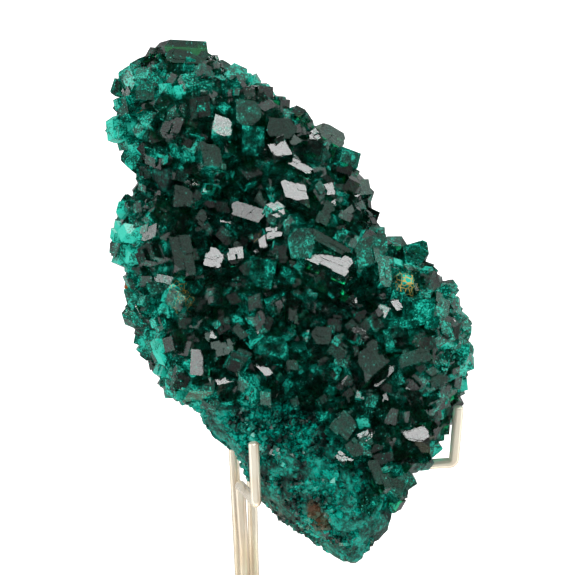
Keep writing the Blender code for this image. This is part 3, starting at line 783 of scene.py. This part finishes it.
def brokenLump(dice, centre, size):
    form = bmesh.new()
    for _ in range(lumps["corners"]):
        way = Vector([dice.gauss(0, 1) for _ in range(3)]).normalized()
        form.verts.new(way * dice.uniform(*lumps["bulge"]))
    hull = bmesh.ops.convex_hull(form, input=form.verts[:])
    inner = {v for v in hull["geom_interior"] if isinstance(v, bmesh.types.BMVert)}
    bmesh.ops.delete(form, geom=list(inner), context="VERTS")
    bmesh.ops.recalc_face_normals(form, faces=form.faces)
    bmesh.ops.subdivide_edges(form, edges=form.edges[:], cuts=lumps["cuts"], use_grid_fill=True)
    form.normal_update()
    moved = [v.co + v.normal * relief(centre + v.co * size) / size * lumps["relief"] for v in form.verts]
    for vertex, place in zip(form.verts, moved):
        vertex.co = place
    return toMesh(form, "lump")


def brokenLumps():
    dice = random.Random(lumps["seed"])
    made = []
    for place, normal in surfaceSamples(dice, lumps["tries"]):
        size = dice.uniform(*lumps["sizes"])
        centre = place - normal * size * lumps["sunk"]
        apart = all((centre - c).length > lumps["apart"] * (size + s) for c, s, *_ in made)
        if len(made) == lumps["most"] or not apart or not isBare(place, normal):
            continue
        if clearOfWires(centre, size * lumps["clear"]):
            placed = placedAt(centre, Matrix.Identity(4), size)
            made.append((centre, size, placed, brokenLump(dice, centre, size), None))
    return made


# Closed hollows left inside by joining have a negative volume
def dropInnerShells(mesh):
    form = bmesh.new()
    form.from_mesh(mesh)
    left = set(form.verts)
    dropped = 0
    while left:
        shell = [left.pop()]
        for vert in shell:
            near = {edge.other_vert(vert) for edge in vert.link_edges} & left
            left -= near
            shell.extend(near)
        faces = {face for vert in shell for face in vert.link_faces}
        volume = 0.0
        for face in faces:
            first = face.verts[0].co
            for a, b in zip(face.verts[1:], face.verts[2:]):
                volume += first.dot(a.co.cross(b.co))
        if volume < 0:
            bmesh.ops.delete(form, geom=shell, context="VERTS")
            dropped += 1
    form.to_mesh(mesh)
    form.free()
    print("dropped", dropped, "inner shells")


print("growing crystals")
dice = random.Random(growth["smallSeed"])
large = largeCrystals()
smallHabits = [crystalHabit(dice, **growth["smallHabit"]) for _ in range(growth["smallHabits"])]
blocks = steppedBlocks(large, smallHabits, dice)
fill = fillCrystals(large, smallHabits, dice)
inside = large + [c for c in blocks + fill if insideCadBox(c[0], c[1] * growth["boxMargin"])]
print(len(large), "large,", len(blocks), "blocks,", len(fill), "between;", len(inside), "inside the box")
crystalSkin = united(inside, "crystals", dice)
dropInnerShells(crystalSkin)
crystalPiece = addObject("crystals", crystalSkin, placing)
print("crystal triangles", sum(len(p.vertices) - 2 for p in crystalSkin.polygons))

print("breaking the rock")
fineRock = toMesh(roughened(rockPlate(rock["fine"]), rock["sunk"]), "rock")
rockSkin = united(brokenLumps(), "rock", dice, fineRock)
dropInnerShells(rockSkin)
rockSkin.attributes.remove(rockSkin.attributes["veil"])
for layer, values in stains([v.co / mm for v in rockSkin.vertices]).items():
    rockSkin.attributes.remove(rockSkin.attributes[layer])
    rockSkin.attributes.new(layer, "FLOAT", "POINT").data.foreach_set("value", values)
print("rock triangles", sum(len(p.vertices) - 2 for p in rockSkin.polygons))
rockPiece = addObject("rock", rockSkin, placing, smooth=True)

print("scattering grains")
grains = grainCrystals(large, smallHabits, dice)
grainSkin = crystalMesh(grains, "grains", dice)
grainPiece = addObject("grains", grainSkin, placing)
print(len(grains), "grains,", sum(len(p.vertices) - 2 for p in grainSkin.polygons), "triangles")

# Finishes

crystalLook = {
    "tint": (0.36, 0.93, 0.78, 1),
    "ior": 1.67,
    "absorb": (0.004, 0.76, 0.58, 1),
    "density": 1000.0,
    "veils": [
        (0.0, (0.0, 0.005, 0.004)), (0.32, (0.0, 0.024, 0.016)),
        (0.60, (0.0, 0.090, 0.061)), (0.82, (0.002, 0.19, 0.135)), (1.0, (0.02, 0.48, 0.36)),
    ],
    "glint": (0.06, 0.52, 0.40, 1),
    "rust": (0.30, 0.075, 0.012, 1),
    "gold": (0.50, 0.36, 0.09, 1),
    "veilGloss": 0.18,
    "veilRough": 0.16,
    "veilShare": (0.24, 0.92),    # least and most
    "rough": (0.02, 0.22),        # clean, then scuffed
    "cloud": (480.0, 7.0, 0.72),  # each noise's scale, detail and roughness
    "wide": (120.0, 2.0, 0.5),
    # fine bright specks in the veil: partly the tone of tiny grains, partly painted sparkle
    "sparkleSpeck": (2600.0, 2.0, 0.7),
    "ripple": (700.0, 5.0, 0.55),
    "scuff": (900.0, 4.0, 0.6),
    "netting": 900.0,             # cells in a metre
    "dots": 1500.0,
}


def crystalFinish():
    look = crystalLook
    paint = Paint("dioptase")
    place = paint.place()
    own = paint.attribute("veil")
    pale = paint.attribute("pale")
    cloud = paint.noise(place, *look["cloud"])
    wide = paint.noise(place, *look["wide"])
    sparkleSpeck = paint.noise(place, *look["sparkleSpeck"])
    share = own * 0.45 + wide * 0.5 + pale * 0.75 + cloud * 0.7 - 0.85
    share = share.between(0.0, 0.5, *look["veilShare"])
    # Veil lightness; its fine speck noise is partly grain tone and partly painted sparkle
    light = (cloud - 0.5) * 2.0 + (sparkleSpeck - 0.5) * 1.8 + pale * 0.48 + (own - 0.5) * 0.7 + (wide - 0.5) + 0.38
    veil = paint.node("ShaderNodeValToRGB", {"stops": look["veils"]}, {"Fac": light.clipped()})
    rust = (paint.attribute("rust") + (cloud - 0.5) * 2.0 - 0.75).between(0.0, 0.2)
    values = {"Vector": place, "Scale": look["netting"]}
    net = paint.node("ShaderNodeTexVoronoi", {"feature": "DISTANCE_TO_EDGE"}, values)
    gold = (paint.attribute("gold") - net * 9.0 - 0.15).between(0.0, 0.2)
    dots = paint.node("ShaderNodeTexVoronoi", {}, {"Vector": place, "Scale": look["dots"]})
    glints = (0.2 - dots).between(0.0, 0.08) * (cloud - 0.1 + pale * 0.3).between(0.3, 0.55)
    veil = paint.mixed(glints, veil, look["glint"])
    veil = paint.mixed(gold, paint.mixed(rust, veil, look["rust"]), look["gold"])
    share = paint.larger(paint.larger(share, glints), paint.larger(rust, gold))
    bump = paint.bump(paint.noise(place, *look["ripple"]), 0.12, 0.0002)
    scuffed = paint.noise(place, *look["scuff"]).between(0.45, 0.75, *look["rough"])
    paint.set(Base_Color=look["tint"], Roughness=scuffed, IOR=look["ior"], Normal=bump)
    paint.set(Transmission_Weight=1.0)
    milky = paint.node("ShaderNodeBsdfPrincipled", {}, {
        "Base Color": veil, "Roughness": look["veilRough"], "IOR": look["ior"], "Normal": bump,
        "Specular IOR Level": look["veilGloss"],
    })
    clear = Term(paint, paint.shader.outputs[0])
    mix = paint.node("ShaderNodeMixShader", {}, {0: share, 1: clear, 2: milky})
    paint.feed(paint.output.inputs["Surface"], mix)
    values = {"Color": look["absorb"], "Density": look["density"]}
    paint.feed(paint.output.inputs["Volume"], paint.node("ShaderNodeVolumeAbsorption", {}, values))
    return paint.material


rockLook = {
    "greens": [
        (0.08, (0.0, 0.004, 0.003)), (0.32, (0.0, 0.024, 0.018)),
        (0.60, (0.0, 0.105, 0.075)), (0.95, (0.003, 0.33, 0.25)),
    ],
    "rust": (0.075, 0.022, 0.005, 1),
    "gloss": 0.30,
    "broad": (260.0, 4.0, 0.6),  # each noise's scale, detail and roughness
    "fine": (1400.0, 4.0, 0.8),
    "grainFine": (2000.0, 3.0, 0.7),
    "rough": 0.32,
    "grainRough": 0.18,
}


def rockFinish():
    paint = Paint("granular rock")
    place = paint.place()
    pale = paint.attribute("pale")
    broad = paint.noise(place, *rockLook["broad"])
    fine = paint.noise(place, *rockLook["fine"])
    share = (broad - 0.5) * 2.2 + (fine - 0.5) * 2.3 + pale * 0.62 + 0.29
    colour = paint.node("ShaderNodeValToRGB", {"stops": rockLook["greens"]}, {"Fac": share.clipped()})
    rust = (paint.attribute("rust") + (broad - 0.5) * 1.5 + (fine - 0.5) - 0.5).between(0.0, 0.35) * 0.9
    colour = paint.mixed(rust, colour, rockLook["rust"])
    bump = paint.bump(fine, 0.8, 0.0006)
    paint.set(Base_Color=colour, Roughness=rockLook["rough"], Normal=bump)
    paint.set(Specular_IOR_Level=rockLook["gloss"])
    return paint.material


def grainFinish():
    paint = Paint("grains")
    place = paint.place()
    own = paint.attribute("veil")
    pale = paint.attribute("pale")
    broad = paint.noise(place, *rockLook["broad"])
    fine = paint.noise(place, *rockLook["grainFine"])
    share = (broad - 0.5) * 2.4 + (own - 0.5) * 0.4 + (fine - 0.5) * 2.0 + pale * 0.62 + 0.29
    colour = paint.node("ShaderNodeValToRGB", {"stops": rockLook["greens"]}, {"Fac": share.clipped()})
    rust = (paint.attribute("rust") + (broad - 0.5) * 1.5 + (fine - 0.5) - 0.5).between(0.0, 0.35) * 0.8
    colour = paint.mixed(rust, colour, rockLook["rust"])
    paint.set(Base_Color=colour, Roughness=rockLook["grainRough"])
    paint.set(Specular_IOR_Level=rockLook["gloss"])
    return paint.material


for skin, finish in ((crystalSkin, crystalFinish()), (rockSkin, rockFinish()), (grainSkin, grainFinish())):
    skin.materials.clear()
    skin.materials.append(finish)
for piece in (crystalPiece, rockPiece, grainPiece):
    show(piece, "dioptase", "dioptase_specimen")


# The wires, swept round their routes, with rounded upper ends

def roundedRoute(corners):
    route = [corners[0]]
    for before, corner, after in zip(corners, corners[1:], corners[2:]):
        back = (before - corner).normalized()
        ahead = (after - corner).normalized()
        half = back.angle(ahead) / 2
        centre = corner + (back + ahead).normalized() * stand["bend"] / math.sin(half)
        start = corner + back * stand["bend"] / math.tan(half) - centre
        end = corner + ahead * stand["bend"] / math.tan(half) - centre
        for step in range(stand["bendSteps"] + 1):
            route.append(centre + start.slerp(end, step / stand["bendSteps"]))
    route.append(corners[-1])
    return route


def sweptWire(corners, name):
    route = roundedRoute(corners)
    ahead = [(b - a).normalized() for a, b in zip(route, route[1:])]
    tangents = [ahead[0]] + [(a + b).normalized() for a, b in zip(ahead, ahead[1:])] + [ahead[-1]]
    rings = []
    radius = stand["radius"]
    side = tangents[0].orthogonal().normalized()
    for place, tangent in zip(route, tangents):
        side = (side - tangent * side.dot(tangent)).normalized()
        rings.append((place, tangent, side.copy(), radius))
    tip, tangent, side, _ = rings.pop()
    blunt, steps = stand["blunt"], stand["bluntSteps"]
    for step in range(steps + 1):
        angle = math.pi / 2 * step / steps
        rings.append((tip - tangent * blunt * (1 - math.sin(angle)), tangent, side,
                      radius - blunt * (1 - math.cos(angle))))
    form = bmesh.new()
    loops = []
    for place, tangent, side, reach in rings:
        other = tangent.cross(side)
        loop = []
        for step in range(stand["sides"]):
            angle = 2 * math.pi * step / stand["sides"]
            way = side * math.cos(angle) + other * math.sin(angle)
            loop.append(form.verts.new((place + way * reach) * mm))
        loops.append(loop)
    for first, second in zip(loops, loops[1:]):
        for a, b, c, d in zip(first, first[1:] + first[:1], second[1:] + second[:1], second):
            form.faces.new((a, b, c, d))
    form.faces.new(loops[0][::-1])
    form.faces.new(loops[-1])
    bmesh.ops.recalc_face_normals(form, faces=form.faces)
    return toMesh(form, name)


brass = {
    "bright": (1.0, 0.92, 0.76, 1),
    "dull": (0.94, 0.79, 0.60, 1),
    # streak: the brown of the dark reflections painted along the wires
    "streak": (0.42, 0.29, 0.19, 1),
    "metallic": 0.6,
    "rough": (0.13, 0.14),       # least, and what the fine streaks add
    "fine": (900.0, 3.0, 0.6),   # each noise's scale, detail and roughness
    "smudge": (160.0, 3.0, 0.5),
    # the noise that places the painted reflection streaks
    "reflectionStreakNoise": (420.0, 2.0, 0.5),
}


# Brass, with dark reflection streaks painted into its colour
def brassFinish(name, along, darkReflectionShare):
    paint = Paint(name)
    place = paint.place()
    streak = paint.node("ShaderNodeMapping", {}, {"Vector": place, "Scale": along})
    fine = paint.noise(streak, *brass["fine"])
    smudge = paint.noise(place, *brass["smudge"])
    reflectionStreakNoise = paint.noise(streak, *brass["reflectionStreakNoise"])
    colour = paint.mixed(smudge.between(0.35, 0.75), brass["bright"], brass["dull"])
    # Painted reflection: brown streaks along the wire, where a polished wire would mirror the darker front
    colour = paint.mixed(reflectionStreakNoise.between(0.48, 0.66) * darkReflectionShare, colour, brass["streak"])
    least, added = brass["rough"]
    paint.set(Base_Color=colour, Metallic=brass["metallic"], Roughness=fine * added + least)
    paint.set(Normal=paint.bump(fine, 0.08, 0.0001))
    return paint.material


print("bending wires")
wires = {  # each wire's node, and the scale that stretches its streaks along riser and arm
    "leftHookWire": ("left_hook_wire", (1, 0.06, 0.06)),
    "rightHookWire": ("right_hook_wire", (0.06, 1, 0.06)),
    "backRestWire": ("back_rest_wire", (1, 0.06, 0.06)),
}
for name, (node, along) in wires.items():
    wire = addObject(name, sweptWire(routes[name], name), smooth=True)
    # The wires carry the painted reflection streaks at full strength
    wire.data.materials.append(brassFinish("brass of " + name, along, 1.0))  # in full streaks
    show(wire, "brass_wire", node)

# The turned foot

foot = {
    "profile": [
        (0, 10.6), (3.2, 10.6), (3.5, 11.0), (5.2, 11.0), (5.7, 10.85), (6.0, 10.3),
        (6.0, 6.9), (6.15, 6.2), (6.6, 5.6), (7.3, 5.15), (8.2, 5.0),
        (32.2, 5.0), (33.2, 4.75), (33.8, 4.1), (34.0, 3.3), (34.0, 0.6), (33.8, 0.2), (33.4, 0), (0, 0),
    ],
    "steps": 160,
    # how much of the painted reflection streaks the foot gets
    "darkReflectionShare": 0.25,
    "crease": 40.0,
}


def turned(profile, steps, name):
    form = bmesh.new()
    verts = [form.verts.new((x * mm, 0, z * mm)) for x, z in profile]
    edges = [form.edges.new(pair) for pair in zip(verts, verts[1:])]
    bmesh.ops.spin(form, geom=verts + edges, axis=(0, 0, 1), cent=(0, 0, 0), dvec=(0, 0, 0),
                   angle=2 * math.pi, steps=steps, use_merge=True)
    bmesh.ops.remove_doubles(form, verts=form.verts, dist=1e-6)
    bmesh.ops.recalc_face_normals(form, faces=form.faces)
    return toMesh(form, name)


footPiece = addObject("turnedFoot", turned(foot["profile"], foot["steps"], "turnedFoot"), smooth=True)
footPiece.data.set_sharp_from_angle(angle=math.radians(foot["crease"]))
footPiece.data.materials.append(brassFinish("brass foot", (1, 1, 1), foot["darkReflectionShare"]))
show(footPiece, "brass_foot", "foot")

# Stage, light and camera

studio = {
    "floor": 0.9,
    "room": [(0.0, 0.5), (0.28, 0.5), (0.42, 1.3), (0.55, 1.3), (0.67, 0.02)],  # from behind to before
    "lowFront": {"light": 0.45, "height": (-0.05, 0.12), "facing": (0.2, 0.5)},
    "boxes": [  # tilt, azimuth, distance, size, radiance, colour, seen in reflections
        (62, 90, 0.9, 0.42, 9.0, (1, 1, 1), True),
        (60, 175, 0.9, 0.30, 5.0, (1, 1, 1), True),
        (66, 20, 0.9, 0.30, 2.2, (0.78, 1, 0.91), True),
        (46, 50, 1.0, 0.40, 0.9, (0.72, 1, 0.88), True),
        (35, 115, 1.3, 0.90, 1.8, (1, 1, 1), False),
        (12, -40, 1.4, 0.80, 1.0, (1, 1, 1), False),
    ],
}


def direction(tilt, azimuth):
    tilt, azimuth = math.radians(tilt), math.radians(azimuth)
    local = Vector((math.sin(tilt) * math.cos(azimuth), math.sin(tilt) * math.sin(azimuth), math.cos(tilt)))
    return (placing.to_3x3() @ local).normalized()


def softbox(tilt, azimuth, away, size, radiance, colour, mirrored):
    light = bpy.data.lights.new("softbox", "AREA")
    light.color = colour
    light.size = size
    light.energy = radiance * math.pi * size ** 2
    lamp = bpy.data.objects.new("softbox", light)
    way = direction(tilt, azimuth)
    lamp.location = placing.translation + way * away
    lamp.rotation_euler = way.to_track_quat("Z", "Y").to_euler()
    lamp.visible_glossy = mirrored
    bpy.context.scene.collection.objects.link(lamp)


def studioWorld():
    world = bpy.data.worlds.new("studio")
    world.use_nodes = True
    bpy.context.scene.world = world
    paint = Paint("studio", world)
    way = paint.node("ShaderNodeTexCoord", {}, {}, "Generated")
    values = {0: way, 1: direction(0, 0)}
    facing = paint.node("ShaderNodeVectorMath", {"operation": "DOT_PRODUCT"}, values, "Value")
    stops = [(place, (light, light, light)) for place, light in studio["room"]]
    room = paint.node("ShaderNodeValToRGB", {"stops": stops}, {"Fac": facing * 0.5 + 0.5})
    height = paint.node("ShaderNodeSeparateXYZ", {}, {"Vector": way}, "Z")
    lowFront = studio["lowFront"]
    low = paint.mixed(height.between(*lowFront["height"]), (1, 1, 1, 1), (0, 0, 0, 1))
    front = paint.mixed(facing.between(*lowFront["facing"]), (0, 0, 0, 1), low)
    light = lowFront["light"]
    glow = paint.mixed(front, room, (light, light, light, 1))
    paint.feed(world.node_tree.nodes["Background"].inputs["Color"], glow)


def paleFloor():
    form = bmesh.new()
    bmesh.ops.create_circle(form, cap_ends=True, segments=96, radius=4.0)
    floor = addObject("floor", toMesh(form, "floor"))
    paint = Paint("floor")
    paint.set(Base_Color=(0.8, 0.8, 0.8, 1), Roughness=0.9, Emission_Color=(1, 1, 1, 1))
    paint.set(Emission_Strength=studio["floor"])
    floor.data.materials.append(paint.material)
    floor.visible_glossy = False


studioWorld()
paleFloor()
for box in studio["boxes"]:
    softbox(*box)

# The view is as wide as the photo, 575 pixels of 0.19 mm
view = {"away": 1.0, "wide": 575 * 0.19 * mm, "sensor": 36.0}
camera = bpy.data.cameras.new("camera")
camera.sensor_width = view["sensor"]
camera.lens = view["sensor"] * view["away"] / view["wide"]
camera.clip_end = 20.0
eye = bpy.data.objects.new("camera", camera)
eye.matrix_world = placing @ Matrix.Translation((0, 0, view["away"]))
bpy.context.scene.collection.objects.link(eye)
bpy.context.scene.camera = eye
bpy.context.scene.view_settings.view_transform = "Standard"
